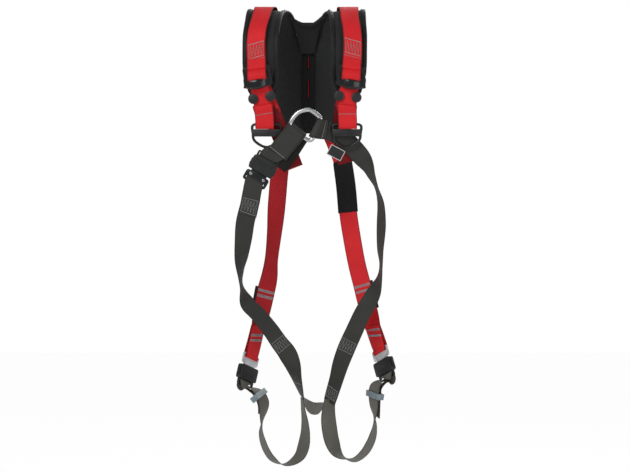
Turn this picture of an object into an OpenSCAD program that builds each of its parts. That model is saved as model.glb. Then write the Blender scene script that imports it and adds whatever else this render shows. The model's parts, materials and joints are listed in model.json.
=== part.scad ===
/* [Webbing] */
// Width of the main webbing
web_w = 44; // [40:0.5:46]
// Thickness of the webbing
web_t = 2; // [1.6:0.1:2.2]

/* [Yoke] */
// Thickness of the padded yoke
pad_t = 10; // [8:0.5:10]

/* [Rings] */
// Thickness of the sternal ring's bar
sternal_d = 10; // [8:0.5:10]
// Thickness of the dorsal ring's bar
dorsal_d = 9; // [8:0.5:9]
// Inside half width of the dorsal ring
dorsal_half = 29; // [27:0.5:31]
// Thickness of the chest rings' wire
chest_d = 5; // [4:0.5:5]

/* [Buckles] */
// Width of a buckle's housing
buckle_w = 62; // [60:1:64]
// Height of a buckle's housing
buckle_h = 34; // [32:1:36]
// Thickness of a buckle's housing
buckle_t = 14; // [13:0.5:15]
// Thickness of a buckle's steel tongue
tongue_t = 3; // [2.5:0.1:3.2]

/* [Hidden] */

red = "#C8252D";
chest_lift = -30;
rear_red = "#A31E26";
grey = "#3A3A36";
leg_grey = "#63625B";
black = "#17181A";
steel = "#C9CACC";
clear = 0.4;
steps = 4;
// How far the front stands to one side of the back, per millimetre of depth
skew = 0.084;

// A row is [x, y, z, turn, lift, width, thickness]: a point on the strap's middle line, the angle of its
// width direction about Z and above the horizontal, and its size where that isn't the webbing's.
function rounded(a, b, c, d, t) =
    0.5 * (2 * b + (c - a) * t + (2 * a - 5 * b + 4 * c - d) * t * t + (3 * b - a - 3 * c + d) * t * t * t);
function full(r, w, t) = [
    r[0], r[1], r[2], r[3], len(r) > 4 ? r[4] : 0, len(r) > 5 ? r[5] : w, len(r) > 6 ? r[6] : t
];
function smooth(rows, w, t, n = steps) =
    let (f = [for (r = rows) full(r, w, t)], last = len(f) - 1)
    [
        for (i = [0 : last - 1], j = [0 : n - 1])
            rounded(f[max(i - 1, 0)], f[i], f[i + 1], f[min(i + 2, last)], j / n),
        f[last]
    ];
function point(r) = [r[0], r[1], r[2]];
function across(r) = [cos(r[3]) * cos(r[4]), sin(r[3]) * cos(r[4]), sin(r[4])];
function unit(v) = v / norm(v);
function along(s, i) = unit(point(s[min(i + 1, len(s) - 1)]) - point(s[max(i - 1, 0)]));
function other_side(rows) = [for (r = rows) [-r[0] + skew * r[1], r[1], r[2], -r[3],
    len(r) > 4 ? -r[4] : 0, len(r) > 5 ? r[5] : web_w, len(r) > 6 ? r[6] : web_t]];

// A flat strap swept along its rows
module ribbon(rows, w = web_w, t = web_t, n = steps) {
    s = smooth(rows, w, t, n);
    count = len(s);
    ring = [
        for (i = [0 : count - 1])
            let (p = point(s[i]), d = along(s, i), a = across(s[i]))
            let (side = unit(a - (a * d) * d), face = cross(d, side))
            for (c = [[-1, -1], [1, -1], [1, 1], [-1, 1]])
                p + side * c[0] * s[i][5] / 2 + face * c[1] * s[i][6] / 2
    ];
    walls = [
        for (i = [0 : count - 2], k = [0 : 3])
            let (a = 4 * i + k, b = 4 * i + (k + 1) % 4)
            each k == 2
                ? [[a, a + 4, b + 4], [a, b + 4, b]]
                : [[a, a + 4, b], [b, a + 4, b + 4]]
    ];
    e = 4 * (count - 1);
    ends = [[0, 1, 2], [0, 2, 3], [e, e + 2, e + 1], [e, e + 3, e + 2]];
    polyhedron(ring, concat(walls, ends), convexity = 8);
}

// A round bar bent into a closed loop through its corners, in the XZ plane
module bent_ring(corners, d, sides = 10, n = steps) {
    m = len(corners);
    line = [
        for (i = [0 : m - 1], j = [0 : n - 1])
            rounded(corners[(i + m - 1) % m], corners[i], corners[(i + 1) % m], corners[(i + 2) % m], j / n)
    ];
    k = len(line);
    pts = [
        for (i = [0 : k - 1])
            let (t = unit(line[(i + 1) % k] - line[(i + k - 1) % k]), out = [t[1], -t[0]])
            for (q = [0 : sides - 1])
                [
                    line[i][0] + out[0] * cos(360 * q / sides) * d / 2,
                    sin(360 * q / sides) * d / 2,
                    line[i][1] + out[1] * cos(360 * q / sides) * d / 2
                ]
    ];
    polyhedron(pts, [
        for (i = [0 : k - 1], q = [0 : sides - 1])
            let (a = i * sides + q, b = i * sides + (q + 1) % sides, c = ((i + 1) % k) * sides)
            each [[a, c + q, b], [b, c + q, c + (q + 1) % sides]]
    ], convexity = 8);
}

// A plate standing in the XZ plane, centred on Y
module plate(w, h, t, r) {
    rotate([90, 0, 0]) linear_extrude(t, center = true)
        hull() for (x = [-1, 1], z = [-1, 1]) translate([x * (w / 2 - r), z * (h / 2 - r)]) circle(r, $fn = 32);
}

// ---------- Yoke ----------
pad_rows = [
    [-143, -197, -38, -5, 0, 20], [-130, -198, -30, -5, 0, 58], [-113, -199, -8, -6, 0, 76],
    [-113, -199, 30, -8, 0, 80],
    [-113, -197, 66, -10, 0, 81], [-112, -187, 100, -10, 0, 82], [-108, -160, 133, -6, 0, 82],
    [-104, -125, 158, 0, -2, 84], [-98, -88, 166, 4, -3, 88], [-87, -57, 150, 8, -4, 95],
    [-68, -37, 110, 10, -4, 96], [-50, -27, 66, 6, 0, 94], [-45, -24, 10, 3, 0, 90],
    [-43.5, -23.5, -45, 0, 0, 86], [-31, -23.5, -98, 0, 0, 60], [-25, -23.5, -124, 0, 0, 46]
];
module yoke_pad_left() { color(black) ribbon(pad_rows, 80, pad_t); }
module yoke_pad_right() { color(black) ribbon(other_side(pad_rows), 80, pad_t); }

// The panel that closes the back below the neck, on the pads' inner faces
neck_rows = [
    [-3, -56.5, 141, 0, 0, 68], [-3, -52.5, 134, 0, 0, 62], [-3, -48, 124, 0, 0, 56],
    [-2.5, -45, 111, 0, 0, 50], [-2, -40.5, 92, 0, 0, 42], [-1.5, -35.6, 71, 0, 0, 32]
];
module neck_panel() { color(black) ribbon(neck_rows, 50, 3); }

// The tape that joins the two pads down the middle of the back, open at two slots
tape_top = 66;
tape_bottom = -112;
module spine_tape() {
    color(black) difference() {
        translate([0, -31.6, (tape_top + tape_bottom) / 2]) plate(30, tape_top - tape_bottom, 2, 3);
        for (slot = [[34, 62], [-38, 6]])
            translate([-2.5, -34, slot[0]]) cube([5, 6, slot[1] - slot[0]]);
    }
}

// ---------- Main straps ----------
// Each strap starts in a loop on its adjuster, passes over the shoulder, crosses the other one at the
// dorsal plate and ends at the opposite hip.
shoulder_rows = [
    [-123, -210.6, 78, -4], [-122, -210.4, 56, -3], [-121, -214, 30, 0, 4], [-121, -219.8, 16, 0, 8],
    [-121, -220, 8, 0, 8], [-121, -223.4, 4, 0, 8], [-121, -226.8, 8, 0, 8], [-121, -226.8, 20, 0, 8],
    [-122, -219, 36, -2, 4], [-123, -214, 56, -4], [-123, -213, 78, -6], [-120, -201, 111, -8],
    [-113, -169, 142, -6], [-108, -128, 167, 0], [-103, -88, 175, 4], [-92, -49, 159, 8],
    [-72, -24, 118, 10]
];
right_rear_rows = [
    [-45, -12, 66, 8], [0, -11.2, 0, 0], [33, -11.8, -75, -4], [53, -14.4, -118, -8], [68, -22, -153, -10],
    [86, -34, -208, -14], [97, -58, -320, -10],
    [107, -75, -388, -14], [118, -90, -448, -18], [130, -103, -496, -16], [139, -113, -533, -12],
    [148, -120, -568, -20], [153, -124, -588, -30]
];
left_rear_rows = [
    [45, -15.4, 66, -8], [0, -14, 0, 0], [-30, -14.4, -75, 4], [-49, -16, -118, 8], [-60, -22, -153, 10],
    [-70, -33, -210, 12], [-77, -48, -290, 10],
    [-82.5, -67, -363, 35], [-89.5, -83, -432, 46], [-94, -94, -474, 30], [-102, -105, -510, 16],
    [-112, -115, -556, 20], [-119, -121, -588, 40]
];
module main_strap_left() { color(red) ribbon(concat(shoulder_rows, right_rear_rows)); }
module main_strap_right() { color(red) ribbon(concat(other_side(shoulder_rows), left_rear_rows)); }

// The two layers of each strap's end, sewn above and splayed round the hip buckle's slot
hip_left = [-147, -125, -708];
hip_right = [183, -125, -692];
hip_turn = 52;
hip_tilt_left = 20;
hip_tilt_right = 24;
left_hip_rows = [
    [-121.4, -120.4, -592, 44], [-131, -114, -628, 48, -8], [-139.9, -109.9, -658, 52, -20],
    [-141.9, -111, -667, 52, -20], [-138.8, -114.5, -671.4, 52, -20], [-135.2, -117.1, -667, 52, -20],
    [-133.4, -115.6, -658, 52, -20], [-126.6, -118.4, -628, 48, -8], [-119.8, -122.8, -592, 44]
];
right_hip_rows = [
    [154.6, -122.6, -592, -34], [166, -115, -620, -42, 8], [174.6, -108.6, -644, -52, 24],
    [175.6, -109.6, -652, -52, 24], [173.2, -112.5, -656.8, -52, 24], [169.6, -114.6, -652, -52, 24],
    [168, -114.4, -644, -52, 24], [161, -118.6, -620, -42, 8], [153, -125.2, -592, -34]
];
module hip_loop_left() { color(rear_red) ribbon(left_hip_rows); }
module hip_loop_right() { color(rear_red) ribbon(right_hip_rows); }

// A tube of thin cloth round a strap: the strap's own rows, wider and thicker, less the strap's room
module cloth_tube(rows, w, t, room_w, room_t) {
    first = rows[0];
    last = rows[len(rows) - 1];
    before = rows[1];
    after = rows[len(rows) - 2];
    difference() {
        ribbon(rows, w, t);
        ribbon(concat(
            [first + (first - before) * 0.2], rows, [last + (last - after) * 0.2]
        ), room_w, room_t);
    }
}
label_rows = [[82.8, -30.9, -193, -13.6], [92, -44.8, -258, -12], [96.9, -57.9, -320, -10.2]];
module label_sleeve() { color(black) cloth_tube(label_rows, 49, 5, 45.6, 3.4); }

// ---------- Dorsal attachment ----------
module dorsal_plate() {
    color(black) {
        difference() {
            translate([0, -7.6, -4]) plate(104, 74, 3, 12);
            for (side = [-1, 1]) translate([side * 26, -12, -16]) cube([5, 9, 34], center = true);
        }
        for (side = [-1, 1])
            difference() {
                translate([side * (dorsal_half + 18) - 4, -7, -7]) cube([8, 13, 14]);
                rotate([0, 90, 0]) cylinder(r = dorsal_d / 2 + 0.05, h = 120, center = true, $fn = 48);
            }
    }
}
module dorsal_ring() {
    color(steel) {
        rotate([0, 90, 0]) cylinder(d = dorsal_d, h = 2 * (dorsal_half + 24), center = true, $fn = 48);
        translate([0, 1, 0]) bent_ring([
            [0, 0.2], [34, 0], [34.5, -26], [26, -48], [0, -60], [-26, -48], [-34.5, -26], [-34, 0]
        ], dorsal_d - 1);
    }
}

// ---------- Adjusters ----------
adjuster_left = [-119, -223.4, -4];
adjuster_right = [101, -223.4, -4];
bar_back = 8.4;
adjuster_tilt = 8;
bar_drop = -5;
module adjuster_frame() {
    difference() {
        union() {
            plate(66, 50, 2.6, 7);
            for (side = [-1, 1]) translate([side * 30.5, 4, 0]) plate(5, 44, 10, 2);
        }
        translate([0, 0, 9]) plate(48, 8, 20, 3);
        translate([0, 0, -2.5]) plate(48, 12, 20, 3);
        // The windows in which the sliding bar's ends travel
        translate([0, bar_back, bar_drop]) cube([70, 7.6, 12], center = true);
    }
}
module adjuster_bar() {
    translate([0, bar_back, bar_drop]) rotate([0, 90, 0]) {
        cylinder(d = 6.4, h = 54, center = true, $fn = 40);
        for (x = [-22 : 4 : 22]) translate([0, 0, x]) cylinder(d = 7, h = 2, center = true, $fn = 40);
    }
}
module adjuster_frame_left() {
    color(black) translate(adjuster_left) rotate([0, -adjuster_tilt, 0]) adjuster_frame();
}
module adjuster_frame_right() {
    color(black) translate(adjuster_right) rotate([0, adjuster_tilt, 0]) adjuster_frame();
}
module adjuster_bar_left() {
    color(steel) translate(adjuster_left) rotate([0, -adjuster_tilt, 0]) adjuster_bar();
}
module adjuster_bar_right() {
    color(steel) translate(adjuster_right) rotate([0, adjuster_tilt, 0]) adjuster_bar();
}

// ---------- Chest straps ----------
left_chest_rows = [
    [-33.5, -196.6, -217.5, -4], [-48, -198, -180, -5], [-72, -202, -122, -5], [-95, -206, -66, -5],
    [-109, -208.4, -30, -5], [-117, -209.6, -9, 0, 8], [-118, -211.4, -3.6, 0, 8], [-118, -215, -1.8, 0, 8],
    [-118, -218.8, -3.6, 0, 8], [-117.8, -219.8, -9, 0, 8], [-115.5, -218, -26, -3, 8],
    [-111, -216.2, -42, -2, 8],
    [-106.5, -216, -64, 0], [-103, -218, -92, 0], [-102, -220.4, -108, 0], [-102, -219.6, -119, 0],
    [-102, -215, -123, 0], [-102, -210.6, -119, 0], [-102.2, -211, -108, 0], [-103, -213.6, -92, 0]
];
right_chest_rows = [
    [92, -194.4, -205, 5], [84, -196, -170, 5], [80, -197, -120, 5], [86, -205.4, -66, 5], [96, -208.4, -30, 5],
    [100, -209.6, -9, 0, -8], [101, -211.4, -3.6, 0, -8], [101, -215, -1.8, 0, -8], [101, -218.8, -3.6, 0, -8],
    [100.6, -219.8, -9, 0, -8], [97.5, -218, -26, 3, -6], [94, -217, -42, 2, -5], [92, -218.6, -64, 0],
    [92, -221.8, -92, 0], [92.5, -224.4, -108, 0], [92.5, -223.6, -119, 0], [92.5, -219, -123, 0],
    [92.5, -214.6, -119, 0], [92.3, -215, -108, 0], [92, -217.2, -92, 0]
];
module chest_strap_left() { color(red) ribbon(left_chest_rows, n = 3); }
module chest_strap_right() { color(red) ribbon(right_chest_rows, n = 3); }

// A two-lobed keeper: two round pads in front of the strap's edges, joined by a band behind it
module strap_keeper() {
    for (side = [-1, 1]) translate([side * 20.6, -4.3, 0]) {
        rotate([90, 0, 0]) cylinder(r = 11.8, h = 3.2, center = true, $fn = 40);
    }
    translate([0, 3.1, 0]) plate(50, 13, 1.4, 3);
    for (side = [-1, 1]) translate([side * 24, -0.2, 0]) cube([2.4, 7.4, 12], center = true);
}
module strap_keeper_left() {
    color(black) translate([-108.6, -216, -53]) rotate([0, -9, 0]) keeper_facing(-1);
}
module strap_keeper_right() {
    color(black) translate([93, -217.8, -51]) rotate([0, 5, 0]) keeper_facing(1);
}
module keeper_facing(turn) { rotate([0, 0, turn]) strap_keeper(); }

// ---------- Chest rings ----------
chest_ring_outline = [[0, 0.5], [31, 0], [32, -20], [27, -38], [0, -52], [-27, -38], [-32, -20], [-31, 0]];
ring_left = [-98, -215, -117];
ring_right = [91, -219, -117];
module chest_ring() { bent_ring(chest_ring_outline, chest_d); }
module ring_bar() {
    difference() {
        translate([0, 0, -18.5]) plate(68, 17, 7, 4);
        bent_ring(chest_ring_outline, chest_d + 0.6);
    }
}
module chest_ring_left() { color(steel) translate(ring_left) chest_ring(); }
module chest_ring_right() { color(steel) translate(ring_right) chest_ring(); }
module ring_bar_left() { color(black) translate(ring_left) ring_bar(); }
module ring_bar_right() { color(black) translate(ring_right) ring_bar(); }

// ---------- Sternal attachment ----------
sternal_centre = [-3, -231, -118];
sternal_outline = [
    [5, 36], [18, 31.5], [29, 22.5], [32.5, 14], [30, 3], [24, -9], [17, -25], [12, -33], [6, -36], [-1, -33.5],
    [-14, -24], [-30, -11], [-37.5, -3.5], [-38.5, 5], [-32.5, 16.5], [-22, 28], [-9.6, 34]
];
module sternal_ring() { color(steel) translate(sternal_centre) bent_ring(sternal_outline, sternal_d, 12, 2); }

// The strap to the chest buckle leaves the ring down and to the left, on this slant
slope = 38.7;
top_edge = [-20, -129];
// A row at a distance down that line, at a depth, with a width and a thickness
function down(far, y, w = web_w, t = web_t) =
    [top_edge[0] - far * sin(slope), y, top_edge[1] - far * cos(slope), 0, -slope, w, t];

// Webbing folded round the ring's legs
module sternal_loop_left() {
    color(grey) ribbon([
        down(32, -226.8), down(22, -225.6), down(8, -224.6, 42), down(0.5, -226.4, 40), down(-1.6, -231, 38),
        down(0.5, -235.6, 40), down(8, -237.4, 42), down(22, -235, web_w), down(32, -232.6)
    ], n = 3);
}
loop_right_rows = [
    [42, -218.2, -129, 0, 60, 44], [34, -220.6, -128.4, 0, 62, 42], [23, -223.8, -127.6, 0, 66, 40],
    [15.6, -225.2, -125.6, 0, 66.5, 38], [13.4, -231, -124.6, 0, 66.5, 36], [15.6, -236.8, -125.6, 0, 66.5, 38],
    [23, -238.2, -127.6, 0, 66, 40], [34, -230, -128.4, 0, 62, 42], [42, -221.2, -129, 0, 60, 44]
];
module sternal_loop_right() { color(grey) ribbon(loop_right_rows, n = 3); }

// The short strap from the sternal loop to the chest buckle, round the bar of its housing and sewn back on
// itself, and the sleeve over its layers
module sternal_strap() {
    color(grey) ribbon([
        down(33, -229.8, web_w, 6), [-49.3, -228.9, -163.2, 0, -44, web_w, 4.6],
        [-58.7, -228, -171, 0, -48, web_w, 4.4], [-68.6, -227.2, -178.4, 0, -52, web_w, 4.2],
        [-75.4, -226.6, -183.2, 0, -54, web_w, 2.2], [-84.6, -226, -186.2, 0, -56],
        [-90.4, -225.6, -188.8, 0, -36], [-93.2, -224.8, -192.8, 0, chest_lift],
        [-94.3, -221, -195, 0, chest_lift],
        [-93.2, -217.4, -192.8, 0, chest_lift], [-91, -218, -189.6, 0, -36]
    ], n = 3);
}
module sternal_sleeve() {
    rows = [
        down(20, -230.4, 56, 16), down(32, -229.7, 58, 12), down(44, -229, 60, 9),
        down(60, -228, 63, 8), down(77, -226.9, 66, 7.4)
    ];
    room = [for (r = rows) [r[0], r[1], r[2], r[3], r[4], r[5] - 4, r[6] - 2]];
    color(grey) difference() {
        ribbon(rows);
        ribbon(concat([room[0] * 1.2 - room[1] * 0.2], room, [room[4] * 1.2 - room[3] * 0.2]));
    }
}

// ---------- Buckles ----------
// A housing with a flat cavity for the tongue, which comes in from below, and two sprung side tabs
tab_w = 7;
tab_h = 17;
tab_proud = 1.4;
spring_l = 2.8;
cavity_w = 42;
wall = 1.2;
pocket_in = cavity_w / 2 + wall;
module receiver() {
    difference() {
        union() {
            plate(buckle_w, buckle_h, buckle_t, 5);
            for (z = [4, 11]) translate([0, -buckle_t / 2 - 0.6, z]) plate(46, 3, 1.6, 1.4);
            translate([0, 0, buckle_h / 2 + 6]) plate(56, 16, 5, 4);
        }
        translate([0, 0, buckle_h / 2 + 6.8]) plate(47, 8, 20, 2);
        // The tongue's cavity
        translate([0, 0, -6]) cube([cavity_w, tongue_t + 2 * clear, buckle_h], center = true);
        for (side = [-1, 1])
            translate([side * (pocket_in + 10), 0, -1]) cube([20, 8, tab_h + 1.6], center = true);
    }
}
module tongue() {
    difference() {
        union() {
            translate([0, 0, -12]) plate(40.8, buckle_h - 6, tongue_t, 3);
            translate([0, 0, -34]) plate(60, 26, tongue_t, 6);
        }
        translate([0, 0, -39]) plate(47, 7, 20, 3);
        translate([0, 0, -9]) plate(20, 9, 20, 3);
    }
}
module tab(side) {
    translate([side * (buckle_w / 2 + tab_proud - tab_w / 2), 0, -1]) {
        cube([tab_w, 7.2, tab_h], center = true);
        for (z = [-6 : 3 : 6]) translate([side * tab_w / 2, 0, z]) rotate([90, 0, 0])
            cylinder(r = 0.8, h = 7.2, center = true, $fn = 24);
    }
}
module springs() {
    for (side = [-1, 1]) translate([side * (pocket_in + 0.1 + spring_l / 2), 0, -1]) rotate([0, 90, 0])
        difference() {
            cylinder(r = 2.6, h = spring_l, center = true, $fn = 32);
            cylinder(r = 1.6, h = 4, center = true, $fn = 32);
        }
}
module rivets() {
    for (x = [-17, 17]) translate([x, -tongue_t / 2 - 0.9, -28]) rotate([90, 0, 0])
        cylinder(r = 3.4, h = 1.6, center = true, $fn = 32);
}
chest_at = [-106, -221, -215];
chest_turn = 30;
module at_chest() { translate(chest_at) rotate([0, chest_turn, 0]) children(); }
module chest_receiver() { color(black) at_chest() receiver(); }
module chest_tongue() { color(black) at_chest() tongue(); }
module chest_tabs_left() { color(black) at_chest() tab(-1); }
module chest_tabs_right() { color(black) at_chest() tab(1); }
module chest_springs() { color(steel) at_chest() springs(); }
module chest_rivets() { color(steel) at_chest() rivets(); }

// At the hips the steel tongue is above, on the red strap's loop, and the housing is below
module at_left_hip() {
    translate(hip_left) rotate([0, hip_tilt_left, hip_turn]) rotate([0, 180, 0]) children();
}
module at_right_hip() {
    translate(hip_right) rotate([0, -hip_tilt_right, -hip_turn]) rotate([0, 180, 0]) children();
}
module hip_receiver_left() { color(black) at_left_hip() receiver(); }
module hip_tongue_left() { color(steel) at_left_hip() tongue(); }
module hip_tab_outer_left() { color(black) at_left_hip() tab(1); }
module hip_tab_inner_left() { color(black) at_left_hip() tab(-1); }
module hip_springs_left() { color(steel) at_left_hip() springs(); }
module hip_receiver_right() { color(black) at_right_hip() receiver(); }
module hip_tongue_right() { color(steel) at_right_hip() tongue(); }
module hip_tab_outer_right() { color(black) at_right_hip() tab(-1); }
module hip_tab_inner_right() { color(black) at_right_hip() tab(1); }
module hip_springs_right() { color(steel) at_right_hip() springs(); }

// ---------- Side and leg straps ----------
side_loop_rows = [
    [-136, -217.2, -300, 2, -20], [-132.5, -216.4, -278, 1, -24], [-129, -216.8, -256, 0, chest_lift],
    [-126.6, -217.8, -250.6, 0, chest_lift], [-125.4, -221, -248.4, 0, chest_lift],
    [-126.6, -224.2, -250.6, 0, chest_lift], [-129, -225.2, -256, 0, chest_lift],
    [-132.5, -222.6, -278, 1, -24], [-136, -219.8, -300, 2, -20]
];
left_side_rows = [
    [-138, -218.4, -306, 2, -20], [-148, -213, -345, 8, -14], [-153, -206, -388, 26], [-158, -195, -430, 48],
    [-160, -185, -465, 74], [-158, -178, -500, 82], [-145, -173, -537, 38], [-120, -169, -564, 30],
    [-91, -165, -600, 28], [-69, -161, -632, 24], [-51, -157, -656, 10], [-39, -152, -682, -20],
    [-31, -146, -710, -48], [-24, -139, -735, -64], [-16, -128, -764, -80]
];
right_side_rows = [
    [45, -219.1, -129.4, 0, 59, 44, 2.4], [52, -214.2, -131.6, 0, 58, 44, 1.8], [64, -211.6, -137, 0, 56],
    [80, -208.6, -147, 0, 54], [98, -206.4, -161, 0, 46], [124, -206, -190, -20, 36],
    [140, -205, -214, -55, 24], [149, -204, -236, -72, 14], [161, -202, -264, -84, 6],
    [171, -200, -300, -72, 0], [172.6, -198, -345, -64, 0],
    [171.5, -194, -376, -66, 0], [170.4, -188, -412, -74, 0], [172.4, -181, -448, -84, 0],
    [169.4, -175, -478, -75, 0], [157, -171, -510, -42, 0], [141.6, -168, -540, -26, 0],
    [126, -165, -568, -26, 0], [107, -161, -610, -22, 0],
    [91, -157, -646, -20, 0], [77, -151, -684, -30, 0], [66, -143, -724, -44, 0], [54, -130, -765, -50, 0]
];
left_leg_rows = [
    [-15.4, -126.6, -768, -82], [-12, -125, -796, -76], [-8, -122, -824, -68], [-7, -117, -853, -60],
    [-11, -112, -882, -52], [-21, -107, -907, -54], [-41, -102, -924, -64], [-64, -99, -930, -78, 5],
    [-87, -100, -917, -72, 17], [-103, -105, -892, -67, 9], [-112, -113, -860, -71], [-111, -122, -830, -90],
    [-107, -131, -802, -112], [-106, -137, -781, -121], [-111.5, -138.5, -764, -124, 2],
    [-121, -137.5, -752, -126, 6], [-134, -136.8, -744, -128, 14], [-146.4, -136.8, -739.5, -128, 20],
    [-150, -136, -735, -128, 20], [-152, -131.3, -729.6, -128, 20], [-156.8, -129.6, -735, -128, 20],
    [-152, -127.4, -742.4, -128, 18], [-138, -130.6, -748.5, -126, 12], [-124.8, -133, -756, -125, 7],
    [-114.8, -134.4, -766.4, -124, 3], [-109, -133.4, -782.4, -121], [-110.2, -129, -799, -113]
];
right_leg_rows = [
    [52.6, -128.6, -769, 50], [49, -126, -790, 46], [48, -123, -814, 38], [51, -117, -843, 34],
    [57, -112, -872, 38], [69, -107, -897, 50], [91, -102, -915, 70, -14], [115, -99, -918, 76, -22],
    [137, -100, -900, 66, -21], [151, -106, -873, 62, -11], [157, -115, -846, 68, 4], [158, -124, -821, 86],
    [157, -132, -794, 110], [156.5, -137, -766, 120], [159.5, -139.6, -741, 124, -6],
    [170.5, -139.8, -727.5, 127, -16],
    [184, -138.4, -720, 128, -24], [187.2, -137.4, -717.6, 128, -24], [188.8, -132.5, -712.4, 128, -24],
    [193.8, -131.2, -718.6, 128, -24], [189.6, -127.4, -727.4, 127, -18], [176, -133.4, -733.4, 125, -13],
    [164.6, -135.4, -745, 124, -6], [161.4, -134, -764, 121], [161.8, -129.2, -789, 116], [163.6, -124, -811, 108]
];
module side_loop_left() { color(grey) ribbon(side_loop_rows, n = 3); }
module side_strap_left() { color(grey) ribbon(left_side_rows, n = 3); }
module side_strap_right() { color(grey) ribbon(right_side_rows, n = 3); }
module leg_strap_left() { color(leg_grey) ribbon(left_leg_rows, n = 3); }
module leg_strap_right() { color(leg_grey) ribbon(right_leg_rows, n = 3); }

// The strap that ties the two legs together under the seat
module crotch_strap() { color(leg_grey) ribbon([
    [-7, -118, -776.5, 90, 28, 30], [4, -113, -789, 90, 66, 30], [15, -110, -794.5, 90, 82, 30],
    [27, -112, -791.5, 90, 50, 30], [37, -117, -788, 90, 20, 30]]); }

// ---------- Loops and keepers ----------
left_keeper_rows = [[-114.2, -136.2, -765.5, -110, -10.8], [-123.2, -135, -754.8, -110, -10.8]];
right_keeper_rows = [[158.9, -135.6, -766, 120], [160.4, -136.8, -752, 122]];
module leg_keeper_left() { color("#7F8C90") cloth_tube(left_keeper_rows, 56, 20.5, 52, 17); }
module leg_keeper_right() { color("#7F8C90") cloth_tube(right_keeper_rows, 55, 16, 51, 12.5); }
left_guide_rows = [[-105, -100.6, -503, 16], [-114.6, -111.4, -552, 20]];
right_guide_rows = [[132.4, -98.8, -490, -16], [141.6, -109, -530, -13], [147.6, -114.6, -556, -17]];
module guide_loop_left() { color(grey) ribbon(left_guide_rows, 48, 1.2); }
module guide_loop_right() { color(grey) ribbon(right_guide_rows, 48, 1.2); }
module tag() {
    color(black) translate([65, -234, -183]) rotate([0, 28, 0]) plate(37, 26, 2.4, 2);
}

yoke_pad_left();
yoke_pad_right();
neck_panel();
spine_tape();
main_strap_left();
main_strap_right();
hip_loop_left();
hip_loop_right();
label_sleeve();
guide_loop_left();
guide_loop_right();
dorsal_plate();
dorsal_ring();
adjuster_frame_left();
adjuster_frame_right();
adjuster_bar_left();
adjuster_bar_right();
strap_keeper_left();
strap_keeper_right();
chest_strap_left();
chest_strap_right();
chest_ring_left();
chest_ring_right();
ring_bar_left();
ring_bar_right();
sternal_ring();
sternal_loop_left();
sternal_loop_right();
sternal_strap();
sternal_sleeve();
chest_receiver();
chest_tongue();
chest_tabs_left();
chest_tabs_right();
chest_springs();
chest_rivets();
side_loop_left();
side_strap_left();
side_strap_right();
crotch_strap();
leg_strap_left();
leg_strap_right();
leg_keeper_left();
leg_keeper_right();
hip_receiver_left();
hip_tongue_left();
hip_tab_outer_left();
hip_tab_inner_left();
hip_springs_left();
hip_receiver_right();
hip_tongue_right();
hip_tab_outer_right();
hip_tab_inner_right();
hip_springs_right();
tag();
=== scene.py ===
import json
import math

import bmesh
import bpy
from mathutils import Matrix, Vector


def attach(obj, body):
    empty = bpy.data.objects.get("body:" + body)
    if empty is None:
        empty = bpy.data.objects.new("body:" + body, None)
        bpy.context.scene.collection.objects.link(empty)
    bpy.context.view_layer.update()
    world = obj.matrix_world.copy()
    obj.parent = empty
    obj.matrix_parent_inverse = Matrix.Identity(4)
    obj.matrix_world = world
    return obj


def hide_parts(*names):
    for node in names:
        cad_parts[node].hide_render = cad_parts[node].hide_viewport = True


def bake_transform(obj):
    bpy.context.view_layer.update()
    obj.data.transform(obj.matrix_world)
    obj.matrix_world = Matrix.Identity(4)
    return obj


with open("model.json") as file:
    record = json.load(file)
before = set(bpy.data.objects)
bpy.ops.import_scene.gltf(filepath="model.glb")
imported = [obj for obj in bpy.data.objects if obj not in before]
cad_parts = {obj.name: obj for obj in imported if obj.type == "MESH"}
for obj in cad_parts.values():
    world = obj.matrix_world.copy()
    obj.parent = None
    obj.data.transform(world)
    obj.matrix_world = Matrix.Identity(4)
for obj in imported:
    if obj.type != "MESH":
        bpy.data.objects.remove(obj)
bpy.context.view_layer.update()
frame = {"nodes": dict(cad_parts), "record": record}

# ---------- Camera, light and floor ----------
# A plain studio: one wide soft lamp high on the left, a weaker one on the right and an even pale room.
scene = bpy.context.scene
scene.view_settings.view_transform = "Standard"
lens = bpy.data.cameras.new("camera")
lens.sensor_width = 36
lens.lens = 94.45
lens.clip_end = 40
camera = bpy.data.objects.new("camera", lens)
camera.location = (0.016, -4.1, -0.379)
camera.rotation_euler = (math.pi / 2, 0, 0)
scene.collection.objects.link(camera)
scene.camera = camera


def blank(name):
    """A material with nothing in it yet, and its node tree."""
    m = bpy.data.materials.new(name)
    m.use_nodes = True
    m.node_tree.nodes.clear()
    return m, m.node_tree


def linear(hex_colour):
    """An sRGB hex colour as linear red, green, blue and alpha."""
    parts = [int(hex_colour[i : i + 2], 16) / 255 for i in (1, 3, 5)]
    return [c / 12.92 if c <= 0.04045 else ((c + 0.055) / 1.055) ** 2.4 for c in parts] + [1]


def add(tree, kind, settings=None, links=None):
    """Adds a node. A setting is a property, or an input by name or number; a link joins an input to a socket."""
    node = tree.nodes.new(kind)
    for key, value in (settings or {}).items():
        if isinstance(key, str) and hasattr(node, key):
            setattr(node, key, value)
        else:
            node.inputs[key].default_value = value
    for key, socket in (links or {}).items():
        tree.links.new(socket, node.inputs[key])
    return node


for name, place, target, size, power in (
    ("key lamp", (-1.7, -3.0, 2.0), (0, -0.15, -0.2), 1.7, 56),
    ("fill lamp", (2.3, -3.0, 0.3), (0, -0.15, -0.5), 1.6, 16),
    ("back lamp", (0.9, 2.6, 1.6), (0, -0.1, -0.2), 1.6, 34),
):
    light = bpy.data.lights.new(name, "AREA")
    light.energy = power
    light.size = size
    lamp = bpy.data.objects.new(name, light)
    lamp.location = place
    lamp.rotation_euler = (Vector(target) - Vector(place)).to_track_quat("-Z", "Y").to_euler()
    scene.collection.objects.link(lamp)

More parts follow.
